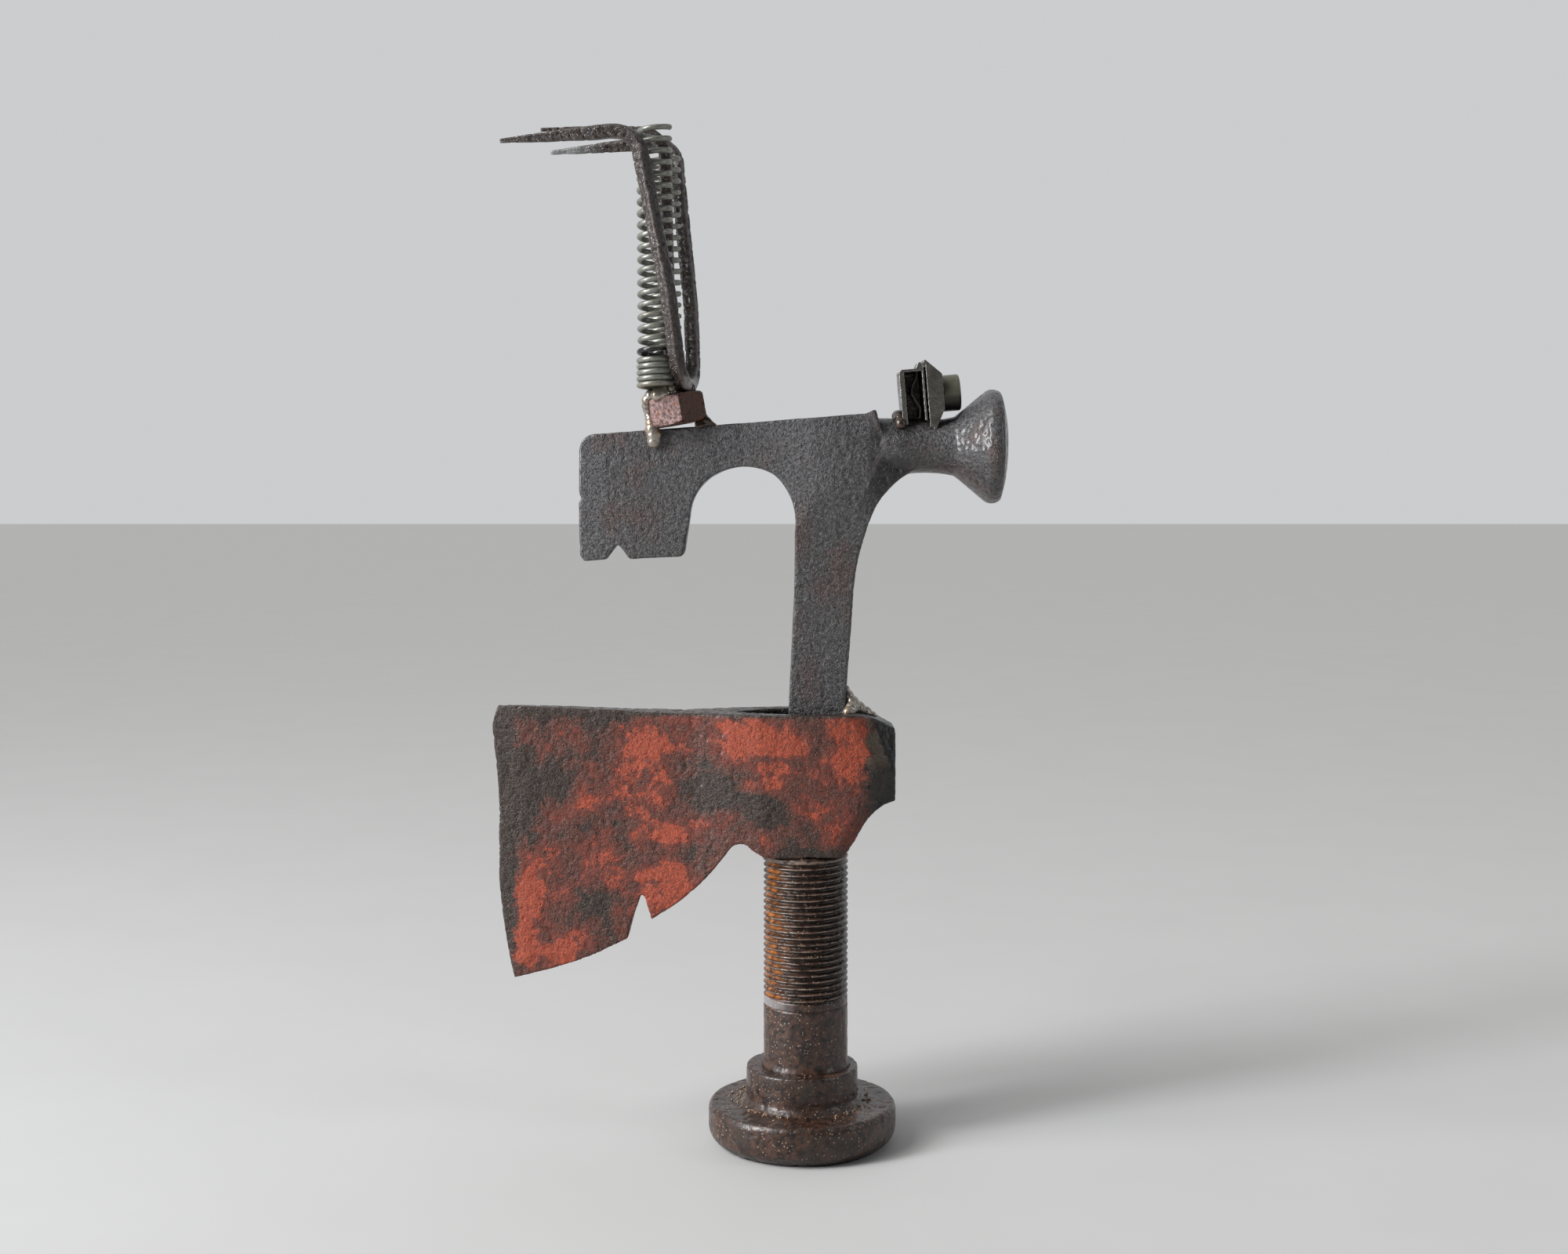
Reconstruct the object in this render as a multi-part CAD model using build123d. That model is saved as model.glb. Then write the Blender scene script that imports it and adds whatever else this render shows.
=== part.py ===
"""A standing sculpture welded from old tools: a flanged foot and threaded stud carry half of a
hatchet, a drywall hammer stands in the hatchet's eye, and a nut, a bent cultivator claw, two
stretched coil springs and a clip nut are welded on top. Millimetres, +Z up, +X towards the
hammer's striking face, origin at the centre of the foot's underside."""

from build123d import *
import math
import os

# ---- foot and stud -------------------------------------------------------------------------
FOOT_R = 32.0              # widest radius of the foot's flange
FOOT_SOLE_R = 26.5         # flat that rests on the table
FOOT_TOP_R = 30.6
FOOT_HEIGHT = 14.0
COLLAR_R = 19.0
COLLAR_RING_R = 19.9       # low ring round the collar's root
COLLAR_RING_TOP = 15.2
COLLAR_TOP = 26.5
STUD_X = 1.2               # the stud stands this far off the foot's centre
STUD_R = 14.3              # 1 1/8 inch thread
STUD_BOTTOM = 12.0
STUD_TOP = 99.6
STUD_STEP_R = 14.9         # thin step where the stud leaves the collar
STUD_STEP_TOP = 27.6
BAND_BOTTOM = 47.5         # bright band below the thread
BAND_TOP = 50.7
BAND_R = 14.1
THREAD_PITCH = 2.117       # 12 turns to the inch
THREAD_DEPTH = 1.25
HALF_CREST = 0.17          # half width of the flat on a thread's crest

# ---- hatchet -------------------------------------------------------------------------------
HATCHET_TOP = 147.2
HATCHET_HALF_EYE = 14.0    # half thickness at the eye
EYE_FRONT_X = -22.5        # sharp end of the handle eye
EYE_BACK_X = 16.8
EYE_HALF_WIDTH = 9.2
POLL_X = 31.0

# ---- hammer --------------------------------------------------------------------------------
HAMMER_AXIS_Z = 235.8      # axis of the neck and of the round striking face
NECK_R = 8.8
FACE_R = 18.9
FACE_X = 68.2
TANG_BOTTOM = 104.0
TANG_LEFT_X = -4.8
TANG_RIGHT_X = 14.0

# ---- nut, claw and springs -----------------------------------------------------------------
NUT_CENTRE = (-41.9, 0.0, 248.0)
NUT_FLATS = 18.0
NUT_HEIGHT = 10.0
NUT_BORE_R = 5.1
NUT_TILT = -10.0           # degrees about Y, raising the side towards +X
NUT_TURN = 10.0            # degrees about its own axis
ROD_R = 2.2                # claw rod
TIP_R = 0.6
U_BEND_R = 12.0
U_BEND_BOTTOM = 256.3
# Corner points of the three tines, from foot to tip.
FRONT_CORNER = (-40.2, -13.4, U_BEND_BOTTOM)
FRONT_KNEE = (-43.4, -16.8, 284.0)
FRONT_BEND = (-53.6, -17.4, 336.8)
FRONT_TIP = (-97.0, -17.5, 333.0)
REAR_CORNER = (-36.6, 13.4, U_BEND_BOTTOM)
REAR_KNEE = (-37.8, 15.4, 284.0)
REAR_BEND = (-43.2, 16.9, 338.9)
REAR_TIP = (-84.8, 16.9, 334.9)
MIDDLE_FOOT = (-43.4, 0.0, 246.5)
MIDDLE_KNEE = (-44.4, 0.0, 285.0)
MIDDLE_BEND = (-45.4, 0.0, 338.2)
MIDDLE_TIP = (-86.2, 0.0, 339.6)
PLAIN_PRONG = 12.5         # length of a prong, from its bend, before it starts to taper
KNEE_BEND_R = 40.0
PRONG_BEND_R = 8.0
WIRE_R = 0.95
COIL_R = 4.95              # mean radius of the springs
SPRING_FOOT_Z = 254.6      # centre of the lowest turn's wire
CLOSED_PITCH = 2.0
CLOSED_TURNS = 5
OPEN_PITCH = 3.72
FRONT_OPEN_TURNS = 19
REAR_OPEN_TURNS = 17
END_TURNS = 1              # the free last turn, which a finger presses
FRONT_SPRING_XY = (-48.3, -8.4)
REAR_SPRING_XY = (-46.4, 8.4)

# ---- clip nut ------------------------------------------------------------------------------
CLIP_HALF_WIDTH = 7.2
CLIP_SHEET = 0.7           # thickness of the back web and the side skirts
CLIP_LEAN = 5.0            # degrees that the clip leans towards -X at its top
CLIP_BASE = (33.0, 0.0, 243.0)
BARREL_R = 6.0
BARREL_BORE_R = 3.4
BARREL_HEIGHT = 9.1        # of the barrel's axis above the clip's base, along the lean
BARREL_START = 13.4        # from the clip's left face to the barrel's two ends
BARREL_END = 20.0


def side_slab(outline, half_depth):
    """A closed outline in the XZ plane made into a slab that reaches half_depth each way in Y."""
    return extrude(make_face(outline), amount=half_depth, both=True)


def xz(*pairs):
    """Points of the XZ plane from (x, z) pairs."""
    return [Vector(x, 0, z) for x, z in pairs]


def chain(*pieces):
    """One closed wire from polylines and arcs that meet end to end."""
    return Wire.combine([edge for piece in pieces for edge in piece.edges()])[0]


def plan_prism(stations, z_low, z_high):
    """A shape symmetric about Y = 0 whose half thickness is given at each (x, half) station."""
    near = [(x, -half) for x, half in stations]
    far = [(x, half) for x, half in reversed(stations)]
    face = make_face(Polyline(*near, *far, close=True))
    return extrude(face, amount=z_high - z_low).moved(Location((0, 0, z_low)))


def end_prism(stations, x_low, x_high):
    """A shape symmetric about Y = 0 whose half thickness is given at each (z, half) station."""
    near = [Vector(x_low, -half, z) for z, half in stations]
    far = [Vector(x_low, half, z) for z, half in reversed(stations)]
    face = make_face(Polyline(*near, *far, close=True))
    return extrude(face, amount=x_high - x_low, dir=(1, 0, 0))


def trimmed(shape, a, b, c):
    """shape without what lies beyond the plane through three points, seen from its middle."""
    normal = (Vector(*b) - Vector(*a)).cross(Vector(*c) - Vector(*a)).normalized()
    outward = normal if normal.dot(Vector(*a) - shape.center()) > 0 else -normal
    cutter_size = 400
    cutter = Plane(origin=Vector(*a), z_dir=outward) * Box(
        cutter_size, cutter_size, cutter_size, align=(Align.CENTER, Align.CENTER, Align.MIN)
    )
    return shape - cutter


def beads(*balls):
    """A lump of weld metal: overlapping balls, each (x, y, z, radius), as one solid."""
    lump = None
    for x, y, z, radius in balls:
        ball = Sphere(radius).moved(Location((x, y, z)))
        lump = ball if lump is None else lump + ball
    return lump


def largest(shape):
    """The biggest solid of a shape, leaving out crumbs that a cut has split off."""
    return max(shape.solids(), key=lambda solid: solid.volume)


# ---- sub-parts -----------------------------------------------------------------------------
def stud_blank(radius, bottom, top):
    """A plain cylinder on the stud's axis."""
    return Cylinder(radius, top - bottom, align=(Align.CENTER, Align.CENTER, Align.MIN)).moved(
        Location((STUD_X, 0, bottom))
    )


def base_foot():
    """Round flange with a rolled edge, and the collar that holds the stud."""
    outline = chain(
        Polyline(*xz((0, 0), (FOOT_SOLE_R, 0))),
        ThreePointArc(*xz((FOOT_SOLE_R, 0), (FOOT_R - 1.3, 2.4), (FOOT_R, 6.5))),
        Polyline(*xz((FOOT_R, 6.5), (FOOT_R, 11.2))),
        ThreePointArc(*xz((FOOT_R, 11.2), (FOOT_R - 0.4, 12.9), (FOOT_TOP_R, FOOT_HEIGHT))),
        Polyline(
            *xz(
                (FOOT_TOP_R, FOOT_HEIGHT),
                (COLLAR_RING_R, FOOT_HEIGHT),
                (COLLAR_RING_R, COLLAR_RING_TOP),
                (COLLAR_R, COLLAR_RING_TOP),
                (COLLAR_R, COLLAR_TOP - 0.5),
                (COLLAR_R - 0.5, COLLAR_TOP),
                (0, COLLAR_TOP),
                (0, 0),
            )
        ),
    )
    body = revolve(make_face(outline), axis=Axis.Z)
    return (body - stud_blank(STUD_R, STUD_BOTTOM, COLLAR_TOP + 1)).solid()


def threaded_stud():
    """Stud with a step at the collar, a bright band and a thread drawn as rings, one each pitch."""
    root_r = STUD_R - THREAD_DEPTH
    corners = [
        (0, STUD_BOTTOM),
        (STUD_R, STUD_BOTTOM),
        (STUD_R, COLLAR_TOP),
        (STUD_STEP_R, COLLAR_TOP),
        (STUD_STEP_R, STUD_STEP_TOP - 0.4),
        (STUD_R, STUD_STEP_TOP),
        (STUD_R, BAND_BOTTOM),
        (BAND_R, BAND_BOTTOM + 0.6),
        (BAND_R, BAND_TOP - 0.6),
    ]
    turns = math.floor((STUD_TOP - BAND_TOP) / THREAD_PITCH)
    for turn in range(turns):
        groove = BAND_TOP + turn * THREAD_PITCH
        corners.append((root_r, groove))
        corners.append((STUD_R, groove + THREAD_PITCH / 2 - HALF_CREST))
        corners.append((STUD_R, groove + THREAD_PITCH / 2 + HALF_CREST))
    corners.append((root_r, BAND_TOP + turns * THREAD_PITCH))
    corners.append((root_r, STUD_TOP))
    corners.append((0, STUD_TOP))
    profile = Polyline(*xz(*corners), close=True)
    return revolve(make_face(profile), axis=Axis.Z).moved(Location((STUD_X, 0, 0)))


def hatchet_head():
    """Half hatchet: flared blade with a nail notch, beard, handle eye and faceted poll."""
    outline = chain(
        Polyline(*xz((-102.4, 149.4), (-57.6, 147.8), (-40, HATCHET_TOP), (18.5, HATCHET_TOP))),
        Polyline(*xz((18.5, HATCHET_TOP), (24.5, 145.6), (POLL_X - 0.4, 142.4), (POLL_X, 141.4))),
        Polyline(*xz((POLL_X, 141.4), (POLL_X, 117.8), (27.4, 116.9))),
        ThreePointArc(*xz((27.4, 116.9), (22.0, 112.8), (18.2, 106.5))),
        Polyline(*xz((18.2, 106.5), (13.7, STUD_TOP), (-12.6, STUD_TOP), (-16.8, 101.9))),
        ThreePointArc(*xz((-16.8, 101.9), (-20.6, 104.0), (-23.9, 102.6))),
        ThreePointArc(*xz((-23.9, 102.6), (-35.4, 88.8), (-50.8, 77.2))),
        Polyline(*xz((-50.8, 77.2), (-53.7, 87.0), (-57.1, 77.6), (-58.9, 70.6))),
        ThreePointArc(*xz((-58.9, 70.6), (-75.4, 63.0), (-97.5, 56.6))),
        ThreePointArc(*xz((-97.5, 56.6), (-101.6, 80.0), (-102.4, 104.0))),
        ThreePointArc(*xz((-102.4, 104.0), (-102.6, 124.0), (-104.3, 142.5))),
        Polyline(*xz((-104.3, 142.5), (-102.4, 149.4))),
    )
    slab = side_slab(outline, 20)
    plan = plan_prism(
        [
            (-105.0, 0.4),
            (-94.5, 2.2),
            (-60.0, 4.6),
            (-36.0, 7.4),
            (-24.0, 11.4),
            (-14.0, 13.6),
            (-2.0, HATCHET_HALF_EYE),
            (10.0, HATCHET_HALF_EYE),
            (18.0, 13.2),
            (POLL_X + 1, 11.2),
        ],
        50,
        150,
    )
    head = slab & plan
    for side in (-1, 1):
        upper = [(15.0, 13.6, 147.0), (25.2, 12.3, 128.3), (POLL_X, 7.0, 141.5)]
        lower = [(25.2, 12.3, 128.3), (16.4, 13.6, 113.5), (POLL_X, 7.0, 117.8)]
        for a, b, c in (upper, lower):
            corners = [(x, side * y, z) for x, y, z in (a, b, c)]
            head = trimmed(head, *corners)
    eye_side = [
        ThreePointArc((EYE_FRONT_X, 0), (-10, side * 7.4), (1, side * EYE_HALF_WIDTH))
        for side in (-1, 1)
    ]
    eye_back = [
        ThreePointArc((1, side * EYE_HALF_WIDTH), (13.2, side * 6.6), (EYE_BACK_X, 0))
        for side in (-1, 1)
    ]
    eye_wire = Wire.combine([edge for arc in eye_side + eye_back for edge in arc.edges()])[0]
    eye = extrude(make_face(eye_wire), amount=120).moved(Location((0, 0, 60)))
    return largest(head - eye)


def hammer_neck():
    """Round neck that flares into the domed striking face."""
    axis_z = HAMMER_AXIS_Z
    rim_x, rim_r = 65.6, 17.9
    sag = FACE_X - rim_x
    dome_r = (rim_r**2 + sag**2) / (2 * sag)
    mid_x = FACE_X - dome_r + math.sqrt(dome_r**2 - (rim_r / 2) ** 2)
    profile = chain(
        Polyline(*xz((18, axis_z), (18, axis_z + 9.4), (33, axis_z + 9.4))),
        ThreePointArc(*xz((33, axis_z + 9.4), (43, axis_z + NECK_R), (50.4, axis_z + 9.8))),
        ThreePointArc(*xz((50.4, axis_z + 9.8), (55.2, axis_z + 13.8), (60.6, axis_z + 18.2))),
        ThreePointArc(
            *xz((60.6, axis_z + 18.2), (63.2, axis_z + FACE_R), (rim_x, axis_z + rim_r))
        ),
        ThreePointArc(
            *xz((rim_x, axis_z + rim_r), (mid_x, axis_z + rim_r / 2), (FACE_X, axis_z))
        ),
        Polyline(*xz((FACE_X, axis_z), (18, axis_z))),
    )
    return revolve(make_face(profile), axis=Axis((0, 0, axis_z), (1, 0, 0)))


def hammer_head():
    """Drywall hammer in one forging: notched blade, arch, cheeks, neck, face and tang."""
    outline = chain(
        Polyline(*xz((-69.6, 239.9), (-62.5, 240.4), (20.7, 246.5), (24.0, 248.0))),
        Polyline(*xz((24.0, 248.0), (27.4, 236.0), (36.0, 232.0), (36.0, 227.3))),
        ThreePointArc(*xz((36.0, 227.3), (31.6, 224.6), (28.2, 221.4))),
        ThreePointArc(*xz((28.2, 221.4), (25.0, 217.4), (22.6, 212.4))),
        ThreePointArc(*xz((22.6, 212.4), (18.2, 197.4), (16.8, 184.0))),
        Polyline(*xz((16.8, 184.0), (TANG_RIGHT_X, 146.0), (TANG_RIGHT_X, TANG_BOTTOM))),
        Polyline(*xz((TANG_RIGHT_X, TANG_BOTTOM), (TANG_LEFT_X, TANG_BOTTOM))),
        Polyline(*xz((TANG_LEFT_X, TANG_BOTTOM), (TANG_LEFT_X, 146.0), (-2.8, 186.0))),
        Polyline(*xz((-2.8, 186.0), (-2.5, 208.0))),
        ThreePointArc(*xz((-2.5, 208.0), (-4.4, 219.9), (-9.6, 226.6))),
        ThreePointArc(*xz((-9.6, 226.6), (-18.2, 229.1), (-27.2, 227.3))),
        ThreePointArc(*xz((-27.2, 227.3), (-33.8, 222.3), (-37.3, 212.8))),
        Polyline(*xz((-37.3, 212.8), (-39.2, 200.5), (-40.5, 199.2), (-57.6, 198.4))),
        Polyline(*xz((-57.6, 198.4), (-61.4, 203.6), (-65.4, 198.2), (-73.0, 197.6))),
        Polyline(*xz((-73.0, 197.6), (-74.4, 199.5), (-74.5, 217.4), (-73.7, 218.6))),
        Polyline(*xz((-73.7, 218.6), (-74.5, 219.8), (-74.3, 233.0))),
        ThreePointArc(*xz((-74.3, 233.0), (-73.2, 237.6), (-69.6, 239.9))),
    )
    slab = side_slab(outline, 16)
    plan = plan_prism(
        [
            (-75.0, 0.9),
            (-66.0, 2.1),
            (-40.0, 3.2),
            (-20.0, 4.4),
            (-8.0, 6.4),
            (4.0, 9.4),
            (10.0, 10.2),
            (22.0, 10.2),
            (31.0, 7.4),
            (36.5, 4.5),
        ],
        90,
        260,
    )
    front = end_prism(
        [
            (90.0, 4.8),
            (186.0, 5.4),
            (198.0, 6.2),
            (214.0, 8.8),
            (224.0, 10.4),
            (240.0, 10.4),
            (246.0, 8.6),
            (250.0, 7.0),
        ],
        -90,
        60,
    )
    return largest((slab & plan & front) + hammer_neck())


def hex_nut():
    """M12 hexagon nut, chamfered at both ends, standing tilted on the blade's top edge."""
    corner_r = NUT_FLATS / math.sqrt(3)
    hexagon = extrude(
        RegularPolygon(corner_r, 6, rotation=NUT_TURN - 90), amount=NUT_HEIGHT / 2, both=True
    )
    half = NUT_HEIGHT / 2
    bevel = (corner_r - NUT_FLATS / 2 + 0.35) * math.tan(math.radians(30))
    spin = [
        (0, -half),
        (NUT_FLATS / 2 - 0.35, -half),
        (corner_r, -half + bevel),
        (corner_r, half - bevel),
        (NUT_FLATS / 2 - 0.35, half),
        (0, half),
    ]
    turned = revolve(make_face(Polyline(*xz(*spin), close=True)), axis=Axis.Z)
    bore = Cylinder(NUT_BORE_R, NUT_HEIGHT + 2)
    countersinks = [
        Cone(NUT_BORE_R + 1.2, NUT_BORE_R - 0.8, 2.0, align=(Align.CENTER, Align.CENTER, Align.MIN))
        .moved(Location((0, 0, -half - 0.01))),
        Cone(NUT_BORE_R - 0.8, NUT_BORE_R + 1.2, 2.0, align=(Align.CENTER, Align.CENTER, Align.MAX))
        .moved(Location((0, 0, half + 0.01))),
    ]
    nut = (hexagon & turned) - bore - countersinks[0] - countersinks[1]
    return largest(nut.moved(Location(NUT_CENTRE, (0, NUT_TILT, 0))))


def taper_start(bend, tip):
    """The point of a prong's straight run where the taper begins."""
    run = Vector(*tip) - Vector(*bend)
    return Vector(*bend) + run.normalized() * PLAIN_PRONG


def rod_along(points, bend_radii):
    """The claw's round rod along straight runs joined by bends."""
    path = FilletPolyline(*points, radius=bend_radii)
    start = Plane(origin=path @ 0, z_dir=path % 0)
    return sweep(start * Circle(ROD_R), path=path)


def taper(start, tip):
    """The pointed end of a prong: a cone from start to a small blunt tip."""
    axis = Vector(*tip) - start
    return Plane(origin=start, z_dir=axis) * Cone(
        ROD_R, TIP_R, axis.length, align=(Align.CENTER, Align.CENTER, Align.MIN)
    )


def outer_tines():
    """The two outer tines of the claw, bent from one rod with a U at the bottom."""
    front_start = taper_start(FRONT_BEND, FRONT_TIP)
    rear_start = taper_start(REAR_BEND, REAR_TIP)
    corners = [FRONT_BEND, FRONT_KNEE, FRONT_CORNER, REAR_CORNER, REAR_KNEE, REAR_BEND]
    radii = [PRONG_BEND_R, KNEE_BEND_R, U_BEND_R, U_BEND_R, KNEE_BEND_R, PRONG_BEND_R]
    rod = rod_along([front_start, *corners, rear_start], radii)
    return largest(rod + taper(front_start, FRONT_TIP) + taper(rear_start, REAR_TIP))


def middle_tine():
    """The straight middle tine, which stands in the nut between the springs."""
    start = taper_start(MIDDLE_BEND, MIDDLE_TIP)
    rod = rod_along([MIDDLE_FOOT, MIDDLE_KNEE, MIDDLE_BEND, start], [KNEE_BEND_R, PRONG_BEND_R])
    return largest(rod + taper(start, MIDDLE_TIP))


def spring_path(open_turns):
    """One wire line: closed turns at the foot, then stretched turns, about the Z axis."""
    closed = Helix(pitch=CLOSED_PITCH, height=CLOSED_PITCH * CLOSED_TURNS, radius=COIL_R)
    opened = Helix(pitch=OPEN_PITCH, height=OPEN_PITCH * open_turns, radius=COIL_R)
    opened = opened.moved(Location((0, 0, CLOSED_PITCH * CLOSED_TURNS)))
    return Wire([*closed.edges(), *opened.edges()])


def wire_along(path):
    """Round spring wire swept along a helical path that starts on the +X side."""
    section = Plane(origin=path @ 0, z_dir=path % 0) * Circle(WIRE_R)
    return sweep(section, path=path, is_frenet=True, transition=Transition.ROUND)


def spring(centre_xy, open_turns):
    """A stretched extension spring standing on its closed turns."""
    wire = wire_along(spring_path(open_turns))
    return largest(wire.moved(Location((*centre_xy, SPRING_FOOT_Z))))


def spring_end(centre_xy, open_turns):
    """The spring's free last turn, which a finger presses down or pulls up."""
    bottom = SPRING_FOOT_Z + CLOSED_PITCH * CLOSED_TURNS + OPEN_PITCH * open_turns
    turn = Helix(pitch=OPEN_PITCH, height=OPEN_PITCH * END_TURNS, radius=COIL_R)
    return largest(wire_along(turn).moved(Location((*centre_xy, bottom))))


def on_clip(shape):
    """Moves a shape drawn about the clip's base to its leaning place."""
    return shape.moved(Location(CLIP_BASE, (0, -CLIP_LEAN, 0)))


def sheet_metal(points, half_width):
    """A strip of bent sheet metal whose closed (x, z) section runs the strip's width in Y."""
    return on_clip(side_slab(Polyline(*xz(*points), close=True), half_width))


def edge_wall(points, inner_half_width):
    """A flat wall at each side edge of the clip, from inner_half_width out to the edge."""
    filled = side_slab(Polyline(*xz(*points), close=True), CLIP_HALF_WIDTH)
    return filled - side_slab(Polyline(*xz(*points), close=True), inner_half_width)


def clip_bracket():
    """Folded channel of the clip with a back web: left plate, top bridge and inner plate."""
    channel = sheet_metal(
        [
            (0.0, -0.2),
            (0.0, 17.0),
            (0.8, 17.8),
            (5.6, 17.8),
            (6.6, 19.8),
            (7.4, 19.8),
            (8.2, 17.2),
            (8.2, 0.6),
            (7.5, 0.6),
            (7.5, 16.9),
            (1.7, 16.9),
            (1.7, -0.2),
        ],
        CLIP_HALF_WIDTH,
    )
    web_corners = [(0.8, 0.6), (0.8, 17.2), (7.8, 17.2), (7.8, 0.6)]
    webs = edge_wall(web_corners, CLIP_HALF_WIDTH - CLIP_SHEET)
    back_web = max(webs.solids(), key=lambda wall: wall.center().Y)
    return channel + on_clip(back_web)


def clip_plate():
    """Dished plate with side skirts, outside the channel, that holds the barrel nut."""
    plate = sheet_metal(
        [
            (8.3, 20.4),
            (9.0, 20.4),
            (14.2, 15.4),
            (14.2, 3.9),
            (10.9, -2.4),
            (9.9, -2.4),
            (13.4, 4.2),
            (13.4, 15.0),
            (8.3, 19.4),
        ],
        CLIP_HALF_WIDTH,
    )
    skirt_corners = [(8.9, 18.4), (8.9, -1.6), (10.4, -1.6), (13.8, 4.1), (13.8, 15.2), (9.4, 19.2)]
    skirts = edge_wall(skirt_corners, CLIP_HALF_WIDTH - CLIP_SHEET)
    cage = plate + on_clip(skirts)
    return cage - on_clip(barrel_blank(BARREL_BORE_R, BARREL_START - 1, BARREL_START + 1))


def clip_tongue():
    """Wavy spring leaf inside the channel, hanging from its top bridge."""
    return sheet_metal(
        [
            (6.4, 16.9),
            (6.4, 15.6),
            (4.2, 11.2),
            (4.2, 9.6),
            (6.6, 5.0),
            (6.2, 1.8),
            (5.7, 1.9),
            (6.0, 4.9),
            (3.6, 9.4),
            (3.6, 11.3),
            (5.7, 15.8),
            (5.7, 16.9),
        ],
        CLIP_HALF_WIDTH - 2.6,
    )


def barrel_blank(radius, start, end):
    """A cylinder along the clip's barrel axis between two distances from its left face."""
    length = end - start
    blank = Cylinder(radius, length, rotation=(0, 90, 0))
    return blank.moved(Location((start + length / 2, 0, BARREL_HEIGHT)))


def clip_barrel():
    """Threaded barrel of the clip nut, chamfered at its free end."""
    chamfer = 0.5
    outer = barrel_blank(BARREL_R, BARREL_START + 0.8, BARREL_END - chamfer)
    nose = Cone(
        BARREL_R, BARREL_R - chamfer, chamfer, align=(Align.CENTER, Align.CENTER, Align.MIN),
        rotation=(0, 90, 0),
    ).moved(Location((BARREL_END - chamfer, 0, BARREL_HEIGHT)))
    bore = barrel_blank(BARREL_BORE_R, BARREL_START, BARREL_END + 1)
    return largest(on_clip(outer + nose - bore))


# ---- welds ---------------------------------------------------------------------------------
def rim_bead(first_degrees, last_degrees, height, radius, steps):
    """A run of weld balls round the stud's top rim between two angles."""
    ring_r = STUD_R + 0.6 - radius
    balls = []
    for step in range(steps + 1):
        angle = math.radians(first_degrees + (last_degrees - first_degrees) * step / steps)
        swell = 0.35 * math.sin(3.1 * step)
        balls.append(
            (STUD_X + ring_r * math.cos(angle), ring_r * math.sin(angle), height, radius + swell)
        )
    return beads(*balls)


def base_weld_front():
    """Thick bead that joins the hatchet's belly to the stud's rim, with a thin tail to +X."""
    tail = beads((7.0, -10.6, 99.6, 2.4), (9.6, -10.8, 101.0, 1.9), (12.0, -10.2, 102.6, 1.5))
    return rim_bead(188, 300, 97.5, 3.8, 10) + tail


def base_weld_rear():
    """Bead on the far side of the same joint."""
    return rim_bead(40, 150, 98.0, 2.9, 9)


def tang_weld():
    """Weld over the poll side of the tang, run out over the eye's wall."""
    return beads(
        (14.3, 0.5, 154.6, 1.5),
        (15.0, -1.5, 152.6, 2.0),
        (15.4, 2.5, 151.6, 1.9),
        (16.4, -2.0, 150.0, 2.6),
        (16.2, 3.0, 149.2, 2.6),
        (18.6, -1.0, 148.2, 2.5),
        (18.0, 4.0, 147.4, 2.3),
        (21.2, 0.0, 146.6, 2.1),
        (23.6, 0.4, 145.4, 1.5),
        (15.4, -5.6, 147.2, 2.1),
        (16.4, -4.0, 148.6, 2.2),
    )


def nut_weld_left():
    """Weld down the nut's left side that ends in a shiny droplet on the blade's face."""
    return beads(
        (-50.2, -4.2, 252.6, 1.7),
        (-51.4, -3.8, 251.0, 1.6),
        (-51.6, -2.2, 249.6, 1.6),
        (-51.2, -1.0, 248.0, 1.6),
        (-50.9, -0.6, 246.4, 1.6),
        (-50.6, -1.2, 244.8, 1.6),
        (-50.3, -2.6, 243.2, 1.7),
        (-49.9, -3.6, 241.4, 2.1),
        (-49.2, -3.4, 239.6, 2.4),
        (-49.2, -3.2, 237.5, 2.1),
    )


def nut_weld_right():
    """Smooth fillet between the nut's right side and the blade's top edge."""
    outline = chain(
        Polyline(*xz((-35.4, 242.0), (-35.4, 250.4), (-33.6, 250.4))),
        ThreePointArc(*xz((-33.6, 250.4), (-32.2, 246.4), (-28.6, 243.0))),
        Polyline(*xz((-28.6, 243.0), (-28.6, 242.0), (-35.4, 242.0))),
    )
    return side_slab(outline, 3.6)


def tine_weld():
    """Weld that fills the nut's bore mouth round the tines."""
    return beads(
        (-42.4, 0.0, 251.4, 4.4),
        (-40.4, -1.5, 253.4, 2.8),
        (-39.4, 2.0, 253.8, 2.6),
        (-37.6, 0.5, 254.6, 2.2),
    )


def spring_weld():
    """Low weld between the springs' feet and the nut's top."""
    return beads(
        (-47.6, -6.6, 252.6, 2.2),
        (-45.4, -6.4, 252.8, 2.4),
        (-43.6, -5.0, 253.2, 2.4),
        (-44.6, -2.6, 253.2, 2.4),
        (-45.4, 0.0, 252.8, 2.4),
        (-44.6, 2.6, 253.0, 2.4),
        (-43.6, 5.0, 253.2, 2.4),
        (-44.6, 7.0, 252.8, 2.2),
    )


def clip_weld():
    """Tack weld along the clip's left foot."""
    return beads(*[(31.5 + 0.3 * abs(y) / 3, y, 246.0 - 0.06 * y * y, 2.1) for y in range(-7, 8, 2)])


def without(shape, *others):
    """shape cut back where other pieces are, so that it only meets them."""
    for other in others:
        shape = shape - other
    return largest(shape)


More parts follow.
